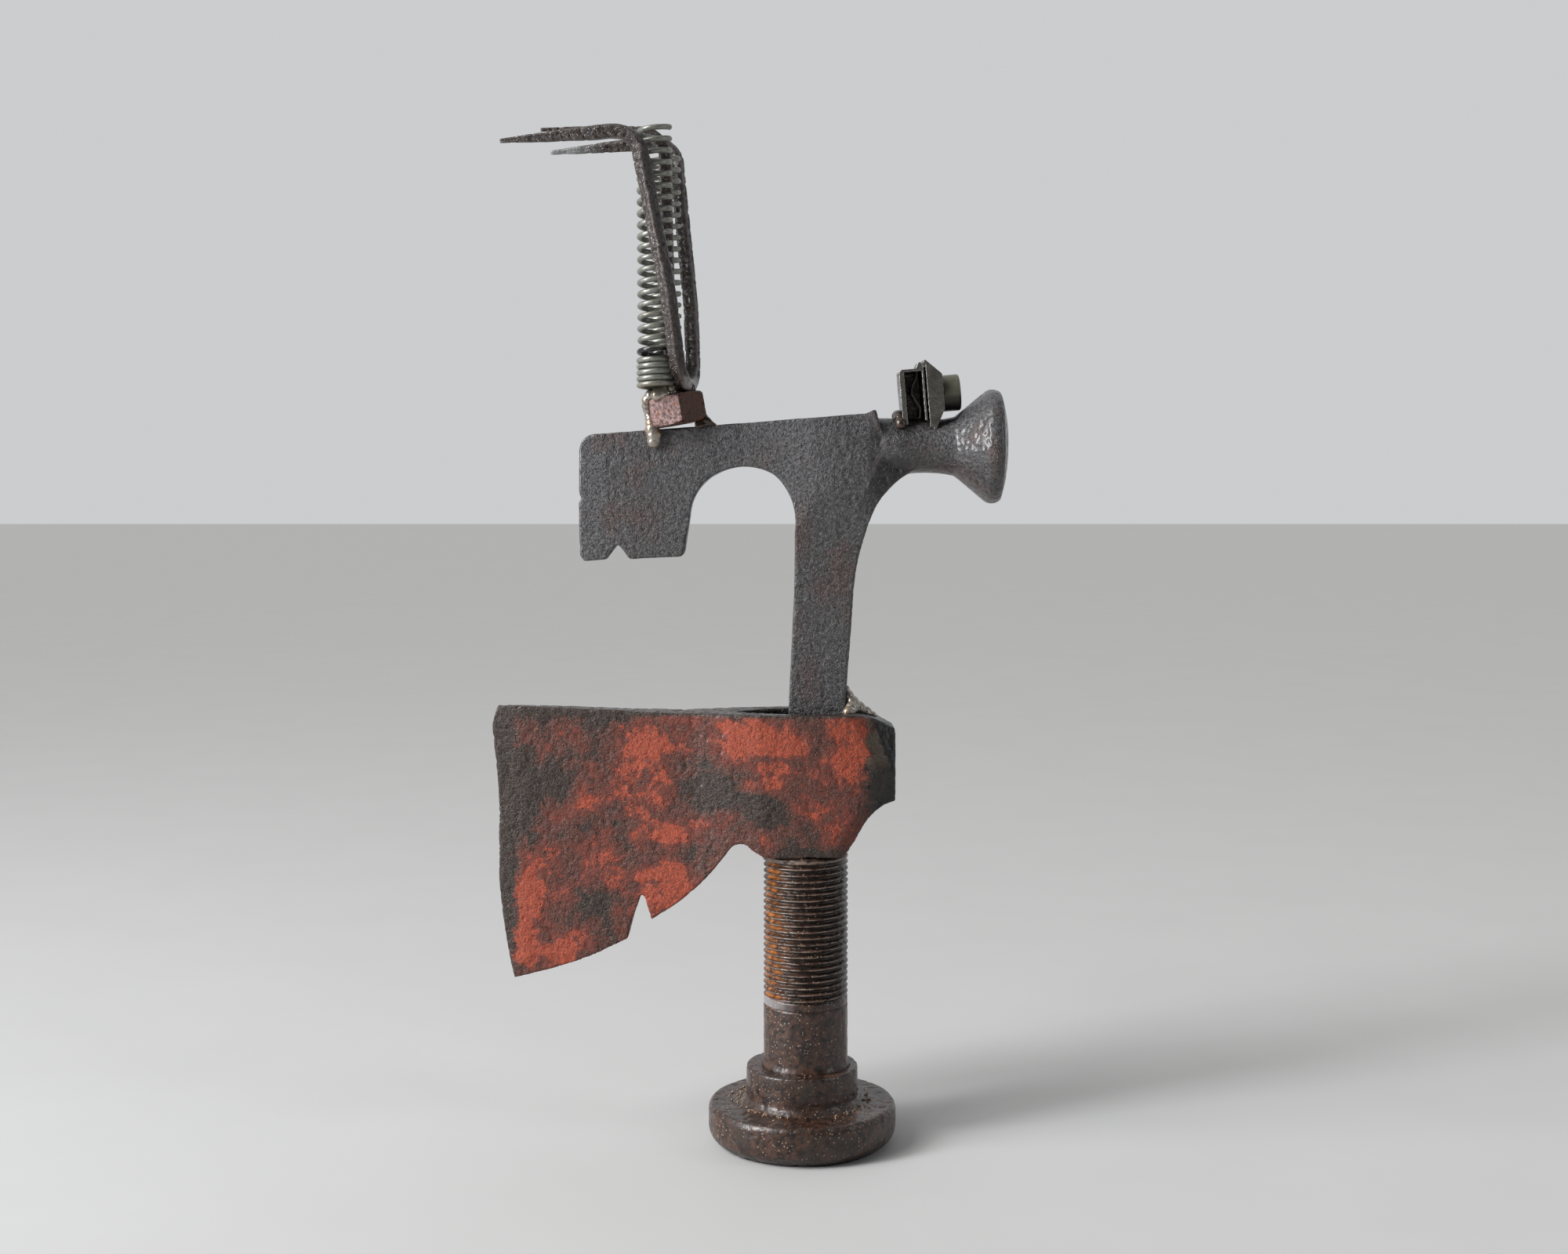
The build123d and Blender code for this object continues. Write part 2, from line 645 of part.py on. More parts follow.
def build_all():
    """Every sub-part by node name."""
    parts = {
        "base_foot": base_foot(),
        "threaded_stud": threaded_stud(),
        "hatchet_head": hatchet_head(),
        "hammer_head": hammer_head(),
        "hex_nut": hex_nut(),
        "outer_tines": outer_tines(),
        "middle_tine": middle_tine(),
        "front_spring": spring(FRONT_SPRING_XY, FRONT_OPEN_TURNS),
        "front_spring_end": spring_end(FRONT_SPRING_XY, FRONT_OPEN_TURNS),
        "rear_spring": spring(REAR_SPRING_XY, REAR_OPEN_TURNS),
        "rear_spring_end": spring_end(REAR_SPRING_XY, REAR_OPEN_TURNS),
        "clip_barrel": clip_barrel(),
    }
    hatchet, hammer, nut = parts["hatchet_head"], parts["hammer_head"], parts["hex_nut"]
    tines, middle = parts["outer_tines"], parts["middle_tine"]
    parts["clip_bracket"] = without(clip_bracket(), hammer)
    parts["clip_plate"] = without(clip_plate(), hammer)
    parts["clip_tongue"] = without(clip_tongue(), parts["clip_bracket"])
    stud_envelope = stud_blank(STUD_R, STUD_BOTTOM, STUD_TOP)
    parts["base_weld_front"] = without(base_weld_front(), stud_envelope, hatchet)
    parts["base_weld_rear"] = without(base_weld_rear(), stud_envelope, hatchet)
    parts["tang_weld"] = without(tang_weld(), hatchet, hammer)
    parts["nut_weld_left"] = without(nut_weld_left(), nut, hammer)
    parts["nut_weld_right"] = without(nut_weld_right(), nut, hammer)
    parts["tine_weld"] = without(tine_weld(), nut, tines, middle)
    parts["spring_weld"] = without(
        spring_weld(), nut, middle, parts["tine_weld"], parts["front_spring"], parts["rear_spring"],
        parts["nut_weld_left"],
    )
    parts["clip_weld"] = without(clip_weld(), hammer, parts["clip_bracket"])
    return parts


def main():
    os.makedirs("parts", exist_ok=True)
    for name, shape in build_all().items():
        export_step(shape, f"parts/{name}.step")


main()
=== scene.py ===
"""A standing sculpture welded from old tools, in soft studio light on a plain pale floor."""
import math

import bmesh
import bpy
import numpy as np
from mathutils import Matrix, Vector, noise


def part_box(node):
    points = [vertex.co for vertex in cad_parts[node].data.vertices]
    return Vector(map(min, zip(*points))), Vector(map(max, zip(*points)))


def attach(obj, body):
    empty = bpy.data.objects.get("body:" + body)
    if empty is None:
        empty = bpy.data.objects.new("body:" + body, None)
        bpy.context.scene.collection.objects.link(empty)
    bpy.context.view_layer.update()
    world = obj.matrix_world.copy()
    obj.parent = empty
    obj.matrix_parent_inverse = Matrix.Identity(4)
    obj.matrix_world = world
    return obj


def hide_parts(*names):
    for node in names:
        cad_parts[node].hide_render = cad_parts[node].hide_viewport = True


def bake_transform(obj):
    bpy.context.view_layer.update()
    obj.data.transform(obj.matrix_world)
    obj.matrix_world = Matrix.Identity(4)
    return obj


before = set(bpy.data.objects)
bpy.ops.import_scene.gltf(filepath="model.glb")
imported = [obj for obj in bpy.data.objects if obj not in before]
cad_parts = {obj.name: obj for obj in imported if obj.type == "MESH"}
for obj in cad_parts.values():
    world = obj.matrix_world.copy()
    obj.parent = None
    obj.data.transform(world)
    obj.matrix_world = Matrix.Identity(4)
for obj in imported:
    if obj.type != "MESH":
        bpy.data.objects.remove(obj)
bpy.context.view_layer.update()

MM = 0.001
ROOT = "sculpture"

# Corner points of the claw's three tines, in millimetres, as the CAD route has them.
FRONT_TINE = [
    (-97.0, -17.5, 333.0), (-53.6, -17.4, 336.8), (-43.4, -16.8, 284.0), (-40.2, -13.4, 256.3),
]
REAR_TINE = [(-36.6, 13.4, 256.3), (-37.8, 15.4, 284.0), (-43.2, 16.9, 338.9), (-84.8, 16.9, 334.9)]
MIDDLE_TINE = [(-43.4, 0.0, 246.5), (-44.4, 0.0, 285.0), (-45.4, 0.0, 338.2), (-86.2, 0.0, 339.6)]
U_BEND_R = 12.0            # bends at the claw's foot
KNEE_R = 40.0              # slight bends halfway up the legs
PRONG_R = 8.0              # bends from leg to prong
ROD_R = 2.28
TIP_R = 0.55

# Springs, in millimetres.
WIRE_R = 0.95
COIL_R = 4.95
SPRING_FOOT_Z = 254.6
CLOSED_PITCH = 2.0
CLOSED_TURNS = 5
CLOSED_EXTRA_R = 0.35      # the closed turns stand this much wider than the open ones
OPEN_PITCH = 3.72
FRONT_OPEN_TURNS = 19
REAR_OPEN_TURNS = 17

# Stud and thread, in millimetres.
STUD_X = 1.2
STUD_R = 14.3
STUD_FOOT = 24.0
STUD_TOP = 99.6
STEP_TOP = 27.2            # top of the wider step on the collar
STEP_R = 0.6               # how far the step stands out
BAND_BOTTOM = 47.3         # plain band between shank and thread, with a groove on either side
BAND_TOP = 50.9
BAND_GROOVE = 0.5
THREAD_PITCH = 2.117
THREAD_DEPTH = 1.25
THREAD_END = 98.2          # here the grooves have run out
CHAMFER_FOOT = 98.6

# Where the hatchet's paint has lasted (above zero) or gone (below): the patch's middle and radii in
# X and Z, in millimetres, and how much paint it adds.
PAINT_PATCHES = (
    ((-16, 138), (26, 11), 0.22),
    ((14, 133), (11, 20), 0.17),
    ((12, 113), (14, 10), 0.09),
    ((-52, 136), (20, 11), 0.13),
    ((-58, 122), (26, 14), 0.08),
    ((-74, 118), (12, 9), 0.08),
    ((-91, 90), (11, 30), 0.16),
    ((-96, 76), (6, 22), 0.14),
    ((-82, 66), (22, 10), 0.10),
    ((-46, 90), (13, 15), 0.12),
    ((-42, 106), (13, 8), 0.13),
    ((-66, 100), (30, 22), 0.06),
    ((-30, 121), (16, 11), -0.24),
    ((-14, 117), (15, 9), -0.15),
    ((-86, 126), (15, 13), -0.18),
    ((-96, 112), (12, 40), -0.13),
    ((-52, 99), (12, 7), -0.12),
    ((-70, 82), (10, 8), -0.14),
    ((-36, 100), (11, 9), -0.12),
    ((-80, 146), (40, 5), -0.12),
    ((2, 101), (22, 5), -0.14),
)


# ---- material helpers ----------------------------------------------------------------------
class Shader:
    """Short calls that build one procedural material in the object's own coordinates."""

    def __init__(self, name):
        self.material = bpy.data.materials.new(name)
        self.material.use_nodes = True
        self.tree = self.material.node_tree
        self.tree.nodes.clear()
        self.place = self.node("ShaderNodeTexCoord").outputs["Object"]
        self.geometry = self.node("ShaderNodeNewGeometry")

    def node(self, kind, inputs=None, **settings):
        made = self.tree.nodes.new(kind)
        for key, value in settings.items():
            setattr(made, key, value)
        for key, value in (inputs or {}).items():
            if isinstance(value, bpy.types.NodeSocket):
                self.tree.links.new(value, made.inputs[key])
            else:
                made.inputs[key].default_value = value
        return made

    def noise(self, size, detail=4.0, rough=0.55, distortion=0.0):
        """Cloudy values from 0 to 1 whose features are about size millimetres wide."""
        inputs = {
            "Vector": self.place, "Scale": 1 / (size * MM), "Detail": detail, "Roughness": rough,
            "Distortion": distortion,
        }
        return self.node("ShaderNodeTexNoise", inputs).outputs[0]

    def cells(self, size):
        """Distance to the nearest of many random points about size millimetres apart."""
        inputs = {"Vector": self.place, "Scale": 1 / (size * MM)}
        return self.node("ShaderNodeTexVoronoi", inputs).outputs["Distance"]

    def ramp(self, value, low, high):
        """0 below low, 1 above high, smooth between; low may be above high."""
        inputs = {"Value": value, "From Min": low, "From Max": high}
        return self.node(
            "ShaderNodeMapRange", inputs, interpolation_type="SMOOTHSTEP", clamp=True
        ).outputs[0]

    def math(self, operation, a, b):
        return self.node("ShaderNodeMath", {0: a, 1: b}, operation=operation).outputs[0]

    def times(self, a, b):
        return self.math("MULTIPLY", a, b)

    def plus(self, a, b):
        return self.math("ADD", a, b)

    def larger(self, a, b):
        return self.math("MAXIMUM", a, b)

    def along(self, axis):
        """The X, Y or Z place on the object, in metres."""
        return self.node("ShaderNodeSeparateXYZ", {0: self.place}).outputs[axis]

    def facing(self, axis):
        """How far the surface faces +X, +Y or +Z."""
        return self.node("ShaderNodeSeparateXYZ", {0: self.geometry.outputs["Normal"]}).outputs[axis]

    def edges(self, low=0.52, high=0.58):
        """1 on outer edges."""
        return self.ramp(self.geometry.outputs["Pointiness"], low, high)

    def hollows(self, low=0.48, high=0.42):
        """1 in inner corners and pits."""
        return self.ramp(self.geometry.outputs["Pointiness"], low, high)

    def patch(self, centre, radii):
        """A soft blob in the XZ plane: 1 at its centre, 0 outside its radii, in millimetres."""
        (x, z), (wide, high) = centre, radii
        inputs = {
            "Vector": self.place,
            "Location": (-x / wide, 0, -z / high),
            "Scale": (1 / (wide * MM), 0, 1 / (high * MM)),
        }
        moved = self.node("ShaderNodeMapping", inputs)
        length = self.node("ShaderNodeVectorMath", {0: moved.outputs[0]}, operation="LENGTH")
        return self.ramp(length.outputs["Value"], 1.0, 0.0)

    def mix(self, factor, a, b):
        """Colour a where factor is 0 and colour b where it is 1."""
        made = self.tree.nodes.new("ShaderNodeMix")
        made.data_type = "RGBA"
        for index, value in ((0, factor), (6, a), (7, b)):
            if isinstance(value, bpy.types.NodeSocket):
                self.tree.links.new(value, made.inputs[index])
            elif index == 0:
                made.inputs[index].default_value = value
            else:
                made.inputs[index].default_value = (*value, 1.0)
        return made.outputs[2]

    def between(self, factor, a, b):
        """Number a where factor is 0 and number b where it is 1."""
        inputs = {"Value": factor, "To Min": a, "To Max": b}
        return self.node("ShaderNodeMapRange", inputs).outputs[0]

    def finish(
        self, colour, metallic, roughness, height, depth, coat=0.0, coat_roughness=0.2, specular=0.5
    ):
        """Ends the tree: depth is the bump's depth in millimetres for height 0 to 1."""
        bump = self.node("ShaderNodeBump", {"Strength": 1.0, "Distance": depth * MM, "Height": height})
        inputs = {
            "Base Color": colour, "Metallic": metallic, "Roughness": roughness,
            "Normal": bump.outputs[0], "Coat Weight": coat, "Coat Roughness": coat_roughness,
            "Specular IOR Level": specular,
        }
        shader = self.node("ShaderNodeBsdfPrincipled", inputs)
        self.node("ShaderNodeOutputMaterial", {"Surface": shader.outputs[0]})
        return self.material


def pitted_height(shader, fine=0.7, coarse=2.2):
    """Bump of old forged steel: grainy scale with small round pits."""
    grain = shader.noise(fine, detail=3.0, rough=0.6)
    lumps = shader.noise(coarse, detail=5.0, rough=0.65)
    pits = shader.ramp(shader.cells(coarse * 0.8), 0.32, 0.08)
    height = shader.plus(shader.times(grain, 0.35), shader.times(lumps, 0.65))
    return shader.math("SUBTRACT", height, shader.times(pits, 0.25))


def speckled(shader, colour):
    """The colour with small clusters of bright specks of worn rust on it."""
    specks = shader.ramp(shader.cells(1.2), 0.26, 0.14)
    specks = shader.times(specks, shader.ramp(shader.noise(6.0, detail=4.0), 0.40, 0.56))
    return shader.mix(shader.times(specks, 0.7), colour, (0.38, 0.28, 0.22))


# ---- materials -----------------------------------------------------------------------------
def hatchet_paint():
    """Flaking orange-red paint over dark steel; edge, poll, top and the eye's walls are bare; painted
    shade darkens the hollows and the inside of the eye.
    """
    s = Shader("worn_red_paint")
    x, z = s.along(0), s.along(2)
    flakes = s.noise(9.0, detail=12.0, rough=0.70, distortion=0.5)
    paint = s.plus(s.times(flakes, 0.72), s.times(s.noise(26.0, detail=4.0, rough=0.6), 0.28))
    for centre, radii, amount in PAINT_PATCHES:
        paint = s.plus(paint, s.times(s.patch(centre, radii), amount))
    stain = s.ramp(paint, 0.40, 0.49)
    wobble = s.times(s.math("SUBTRACT", s.noise(5.0, detail=8.0, rough=0.75), 0.5), 0.016)
    worn_x = s.plus(x, wobble)
    before_poll = s.ramp(worn_x, 0.0235, 0.0205)
    behind_edge = s.ramp(worn_x, -0.0975, -0.0955)
    kept = s.times(s.times(behind_edge, before_poll), s.ramp(z, 0.1470, 0.1455))
    eye_wall = s.times(
        s.ramp(s.math("ABSOLUTE", s.along(1), 0.0), 0.0104, 0.0098), s.ramp(x, -0.025, -0.0235)
    )
    kept = s.times(kept, s.math("SUBTRACT", 1.0, eye_wall))
    ragged = s.plus(paint, s.times(s.noise(1.8, detail=8.0, rough=0.75), 0.16))
    cover = s.times(s.ramp(ragged, 0.600, 0.608), kept)
    fine = s.noise(0.7, detail=8.0, rough=0.75)
    steel = s.mix(s.ramp(fine, 0.40, 0.62), (0.010, 0.006, 0.005), (0.062, 0.038, 0.027))
    dull = s.mix(s.ramp(fine, 0.38, 0.62), (0.048, 0.014, 0.010), (0.165, 0.050, 0.032))
    stained = s.mix(s.times(s.times(stain, kept), 0.85), steel, dull)
    chips = s.noise(3.2, detail=10.0, rough=0.72, distortion=0.4)
    fresh = s.ramp(s.plus(paint, s.times(chips, 0.30)), 0.735, 0.750)
    red = s.mix(fresh, (0.160, 0.036, 0.021), (0.385, 0.066, 0.028))
    red = s.mix(s.times(s.ramp(fine, 0.54, 0.44), 0.55), red, (0.080, 0.020, 0.013))
    colour = s.mix(s.times(cover, 0.92), stained, red)
    colour = s.mix(s.times(s.edges(0.54, 0.62), 0.35), colour, (0.16, 0.10, 0.07))
    # Painted shade: inner corners and pits are darkened towards black.
    colour = s.mix(s.times(s.hollows(), 0.6), colour, (0.016, 0.009, 0.007))
    poll = s.ramp(worn_x, 0.021, 0.024)
    colour = s.mix(s.times(s.times(poll, s.ramp(z, 0.131, 0.128)), 0.85), colour, (0.014, 0.009, 0.006))
    colour = s.mix(s.times(s.times(poll, s.ramp(z, 0.129, 0.133)), 0.6), colour, (0.095, 0.070, 0.046))
    # Painted shade inside the eye: its walls are darkened to near black below the top.
    colour = s.mix(s.times(eye_wall, s.ramp(z, 0.1490, 0.1462)), colour, (0.006, 0.005, 0.004))
    roughness = s.between(cover, 0.36, 0.55)
    height = s.plus(pitted_height(s, 0.6, 1.5), s.times(cover, 0.10))
    return s.finish(colour, 0.0, roughness, height, 0.75, 0.22, 0.18, specular=0.34)


def hammer_steel():
    """Pitted forged steel with brown areas, painted shade behind the cheeks and a painted highlight
    along the cheek's edge.
    """
    s = Shader("dark_forged_steel")
    x, z = s.along(0), s.along(2)
    fine = s.ramp(s.noise(0.9, detail=7.0, rough=0.78), 0.38, 0.64)
    grey = s.mix(fine, (0.006, 0.006, 0.007), (0.088, 0.082, 0.084))
    brown = s.mix(fine, (0.010, 0.005, 0.004), (0.105, 0.052, 0.042))
    warm = s.times(s.ramp(s.noise(22.0, detail=6.0, rough=0.65), 0.50, 0.64), 0.7)
    for centre, radii, amount in (
        ((-2, 208), (9, 16), 0.8),
        ((-54, 214), (15, 9), 0.5),
        ((46, 225), (18, 9), 0.9),
        ((2, 158), (7, 16), 0.6),
    ):
        warm = s.larger(warm, s.times(s.patch(centre, radii), amount))
    colour = s.mix(warm, grey, brown)
    colour = s.mix(s.times(s.edges(0.54, 0.62), 0.45), colour, (0.15, 0.13, 0.11))
    # Painted shade: inner corners and pits are darkened towards black.
    colour = s.mix(s.times(s.hollows(), 0.7), colour, (0.006, 0.005, 0.005))
    # Painted shade: the concave surface behind the cheeks, which drops away into the neck, is darkened
    # where the mesh has no such facet.
    neck_middle = 0.2364
    cheek = s.math("ABSOLUTE", s.math("SUBTRACT", z, neck_middle), 0.0)
    beyond = s.plus(x, s.times(cheek, 0.42))
    root = s.times(s.ramp(beyond, 0.0268, 0.0276), s.ramp(x, 0.044, 0.030))
    root = s.times(root, s.ramp(z, 0.2100, 0.2180))
    above = s.ramp(z, 0.2385, 0.2410)
    below = s.ramp(z, 0.2330, 0.2305)
    colour = s.mix(s.times(s.times(root, s.larger(above, below)), 0.75), colour, (0.008, 0.006, 0.005))
    # Painted highlight: a light line along the cheek's edge, standing in for the edge catching the
    # light.
    ridge = s.times(s.ramp(beyond, 0.0258, 0.0268), s.ramp(beyond, 0.0280, 0.0270))
    ridge = s.times(ridge, s.ramp(z, 0.2240, 0.2270))
    colour = s.mix(s.times(ridge, 0.30), colour, (0.16, 0.135, 0.115))
    roughness = s.between(s.noise(1.2, detail=4.0), 0.22, 0.42)
    return s.finish(colour, 0.0, roughness, pitted_height(s, 0.6, 1.3), 0.80, 0.45, 0.14)


def foot_steel():
    """Brown oiled steel with rust in its hollows, painted highlights on its edges and painted shade
    towards the underside.
    """
    s = Shader("brown_foot_steel")
    mottle = s.noise(2.6, detail=7.0, rough=0.68)
    clouds = s.noise(14.0, detail=4.0)
    brown = s.mix(s.ramp(mottle, 0.36, 0.66), (0.006, 0.003, 0.002), (0.072, 0.032, 0.019))
    colour = s.mix(s.times(s.ramp(clouds, 0.48, 0.62), 0.6), brown, (0.028, 0.019, 0.015))
    rust = s.larger(s.hollows(), s.ramp(s.noise(5.0, detail=8.0, rough=0.75), 0.60, 0.72))
    colour = s.mix(s.times(rust, 0.35), colour, (0.30, 0.105, 0.028))
    # Painted highlight: outer edges are lightened.
    colour = s.mix(s.times(s.edges(0.53, 0.62), 0.45), colour, (0.27, 0.21, 0.17))
    roughness = s.between(s.noise(4.0, detail=5.0), 0.26, 0.52)
    colour = speckled(s, colour)
    # Painted shade: downward-facing surfaces near the floor are darkened.
    underside_shade = s.times(s.ramp(s.facing(2), -0.25, -0.75), s.ramp(s.along(2), 0.008, 0.004))
    colour = s.mix(s.times(underside_shade, 0.75), colour, (0.014, 0.007, 0.004))
    height = pitted_height(s, 0.5, 1.6)
    return s.finish(colour, 0.0, roughness, height, 0.24, 0.30, 0.16, specular=0.38)


def threaded_steel():
    """The stud: rust stands in the grooves, mostly on the weathered -X side; painted shade in the
    grooves on the +X side and a painted highlight on the band's -X side.
    """
    s = Shader("threaded_steel")
    x, z = s.along(0), s.along(2)
    from_axis = s.node(
        "ShaderNodeMapping", {"Vector": s.place, "Location": (-STUD_X * MM, 0, 0), "Scale": (1, 1, 0)}
    )
    length = s.node("ShaderNodeVectorMath", {0: from_axis.outputs[0]}, operation="LENGTH")
    radius = length.outputs["Value"]
    groove = s.ramp(radius, (STUD_R - 0.25) * MM, (STUD_R - 0.8) * MM)
    mottle = s.noise(2.2, detail=7.0, rough=0.7)
    colour = s.mix(s.ramp(mottle, 0.36, 0.66), (0.006, 0.003, 0.002), (0.070, 0.031, 0.019))
    weathered = s.ramp(s.plus(x, s.times(s.noise(9.0, detail=5.0), 0.012)), 0.007, -0.007)
    patches = s.ramp(s.noise(4.0, detail=7.0, rough=0.75), 0.44, 0.58)
    rust = s.times(s.times(groove, weathered), s.between(patches, 0.10, 1.0))
    colour = s.mix(rust, colour, (0.42, 0.135, 0.022))
    # Painted shade: the grooves on the +X side, away from the light, are darkened.
    dark = s.times(groove, s.math("SUBTRACT", 1.0, weathered))
    colour = s.mix(s.times(dark, 0.75), colour, (0.012, 0.009, 0.007))
    crest = s.ramp(radius, (STUD_R - 0.16) * MM, (STUD_R - 0.02) * MM)
    crest = s.times(crest, s.ramp(z, 0.0505, 0.0515))
    colour = s.mix(s.times(crest, 0.5), colour, (0.26, 0.205, 0.16))
    # Painted highlight: the plain band is lightened on its -X side.
    band = s.times(s.ramp(z, 0.0474, 0.0479), s.ramp(z, 0.0508, 0.0503))
    lit = s.times(band, s.ramp(x, -0.001, -0.012))
    colour = s.mix(s.times(lit, 0.55), colour, (0.34, 0.33, 0.34))
    colour = speckled(s, colour)
    roughness = s.between(s.larger(band, s.times(crest, 0.6)), 0.42, 0.24)
    height = pitted_height(s, 0.5, 1.5)
    return s.finish(colour, 0.0, roughness, height, 0.18, 0.30, 0.16, specular=0.38)


def nut_steel():
    """Dull steel with painted light and shade: paler mauve on the faces turned to -X, darker red on
    those turned to +X; rust along the edges.
    """
    s = Shader("mauve_nut_steel")
    mottle = s.ramp(s.noise(0.9, detail=6.0, rough=0.7), 0.38, 0.62)
    # Painted light and shade: the faces turned to -X get the paler mauve, those turned to +X the darker
    # red.
    mauve = s.mix(mottle, (0.075, 0.034, 0.028), (0.34, 0.215, 0.200))
    red = s.mix(mottle, (0.030, 0.012, 0.007), (0.110, 0.042, 0.024))
    colour = s.mix(s.ramp(s.facing(0), -0.2, 0.3), mauve, red)
    rust = s.ramp(s.plus(s.noise(2.2, detail=7.0, rough=0.75), s.times(s.edges(), 0.15)), 0.56, 0.66)
    colour = s.mix(s.times(rust, 0.55), colour, (0.34, 0.115, 0.030))
    roughness = s.between(mottle, 0.36, 0.58)
    height = pitted_height(s, 0.35, 1.1)
    return s.finish(colour, 0.0, roughness, height, 0.28, 0.05, 0.3, specular=0.35)


def claw_steel():
    """Dark pitted rod with painted glints on faces turned to -X, painted edge highlights and painted
    shade in its hollows; worn bright at the rear tip and in the foot's bends.
    """
    s = Shader("pitted_claw_steel")
    mottle = s.ramp(s.noise(0.9, detail=6.0, rough=0.75), 0.38, 0.64)
    colour = s.mix(mottle, (0.003, 0.002, 0.0015), (0.045, 0.026, 0.020))
    rust = s.ramp(s.noise(6.0, detail=6.0, rough=0.7), 0.55, 0.70)
    colour = s.mix(s.times(rust, 0.35), colour, (0.085, 0.034, 0.018))
    # Painted highlight: outer edges are lightened.
    colour = s.mix(s.times(s.edges(), 0.45), colour, (0.20, 0.16, 0.14))
    # Painted shade: inner corners and pits are darkened.
    colour = s.mix(s.times(s.hollows(), 0.7), colour, (0.010, 0.008, 0.007))
    tip = s.times(s.ramp(s.along(0), -0.066, -0.080), s.ramp(s.along(1), 0.010, 0.014))
    colour = s.mix(s.times(tip, 0.6), colour, (0.30, 0.31, 0.31))
    bend = s.times(s.ramp(s.along(2), 0.2600, 0.2570), s.ramp(s.along(0), -0.0400, -0.0380))
    colour = s.mix(s.times(bend, 0.75), colour, (0.30, 0.28, 0.27))
    # Painted glints: bright specks on the faces turned to -X, towards the light.
    painted_glints = s.times(s.ramp(s.cells(0.85), 0.24, 0.12), s.ramp(s.facing(0), 0.25, -0.10))
    colour = s.mix(s.times(painted_glints, 0.8), colour, (0.55, 0.50, 0.47))
    roughness = s.between(s.noise(1.0, detail=3.0), 0.22, 0.48)
    height = pitted_height(s, 0.45, 1.0)
    return s.finish(colour, 0.0, roughness, height, 0.55, 0.25, 0.16, specular=0.45)


def spring_wire():
    """Plated wire, greenish grey, with glossy black turns just above the closed ones."""
    s = Shader("plated_spring_wire")
    z = s.along(2)
    mottle = s.noise(1.4, detail=6.0, rough=0.7)
    plate = s.mix(mottle, (0.050, 0.052, 0.042), (0.37, 0.37, 0.325))
    grime = s.ramp(s.noise(5.0, detail=6.0, rough=0.7), 0.50, 0.66)
    colour = s.mix(s.times(grime, 0.6), plate, (0.085, 0.066, 0.050))
    black = s.times(s.ramp(z, 0.2642, 0.2650), s.ramp(z, 0.2684, 0.2674))
    colour = s.mix(s.times(black, 0.92), colour, (0.010, 0.010, 0.011))
    foot = s.ramp(z, 0.2575, 0.2535)
    colour = s.mix(s.times(foot, 0.5), colour, (0.20, 0.13, 0.08))
    roughness = s.between(black, 0.36, 0.16)
    return s.finish(colour, 0.45, roughness, pitted_height(s, 0.3, 1.0), 0.07, 0.1, 0.2)


def clip_steel():
    """Grey plated sheet with bright worn edges, and painted shade in its folds and inside the cage."""
    s = Shader("worn_clip_steel")
    mottle = s.noise(1.6, detail=6.0, rough=0.65)
    colour = s.mix(mottle, (0.085, 0.080, 0.072), (0.30, 0.285, 0.26))
    grime = s.ramp(s.noise(5.5, detail=6.0, rough=0.7), 0.46, 0.64)
    colour = s.mix(s.times(grime, 0.7), colour, (0.040, 0.036, 0.032))
    colour = s.mix(s.times(s.edges(), 0.6), colour, (0.60, 0.58, 0.54))
    # Painted shade: folds and pits are darkened towards black.
    colour = s.mix(s.times(s.hollows(), 0.8), colour, (0.016, 0.014, 0.012))
    # Painted shade: the inside of the cage, from y of about -6 mm back, is darkened.
    inside = s.ramp(s.along(1), -0.0066, -0.0060)
    colour = s.mix(s.times(inside, 0.62), colour, (0.012, 0.011, 0.010))
    roughness = s.between(grime, 0.26, 0.46)
    return s.finish(colour, 0.80, roughness, pitted_height(s, 0.4, 1.6), 0.05, 0.1, 0.2)


def barrel_steel():
    """Olive grey plating, with painted shade on its downward-facing surfaces."""
    s = Shader("olive_barrel_steel")
    mottle = s.noise(1.4, detail=6.0, rough=0.65)
    olive = s.mix(mottle, (0.085, 0.082, 0.060), (0.235, 0.225, 0.165))
    # Painted shade: surfaces turned downwards are darkened to near black.
    below = s.ramp(s.facing(2), 0.15, -0.35)
    colour = s.mix(s.times(below, 0.85), olive, (0.014, 0.013, 0.012))
    colour = s.mix(s.times(s.edges(), 0.5), colour, (0.36, 0.34, 0.29))
    roughness = s.between(mottle, 0.30, 0.46)
    return s.finish(colour, 0.70, roughness, pitted_height(s, 0.3, 1.2), 0.05, 0.1, 0.2)


def weld_metal(name, dark, light, accent, accent_amount=0.5, roughness=(0.14, 0.34)):
    """A glossy bead with fine solidification ripples."""
    s = Shader(name)
    mottle = s.noise(2.4, detail=6.0, rough=0.65)
    colour = s.mix(mottle, dark, light)
    patches = s.ramp(s.noise(3.4, detail=4.0), 0.50, 0.62)
    colour = s.mix(s.times(patches, accent_amount), colour, accent)
    # Painted shade: hollows in the bead are darkened.
    colour = s.mix(s.times(s.hollows(), 0.8), colour, (0.018, 0.011, 0.008))
    rough = s.between(s.noise(1.8, detail=4.0), *roughness)
    ripples = s.plus(s.times(s.noise(0.9, detail=2.0), 0.6), s.times(s.noise(2.4, detail=4.0), 0.4))
    return s.finish(colour, 0.60, rough, ripples, 0.12, 0.3, 0.12)


# ---- mesh helpers --------------------------------------------------------------------------
def new_object(name, mesh):
    made = bpy.data.objects.new(name, mesh)
    bpy.context.scene.collection.objects.link(made)
    return made


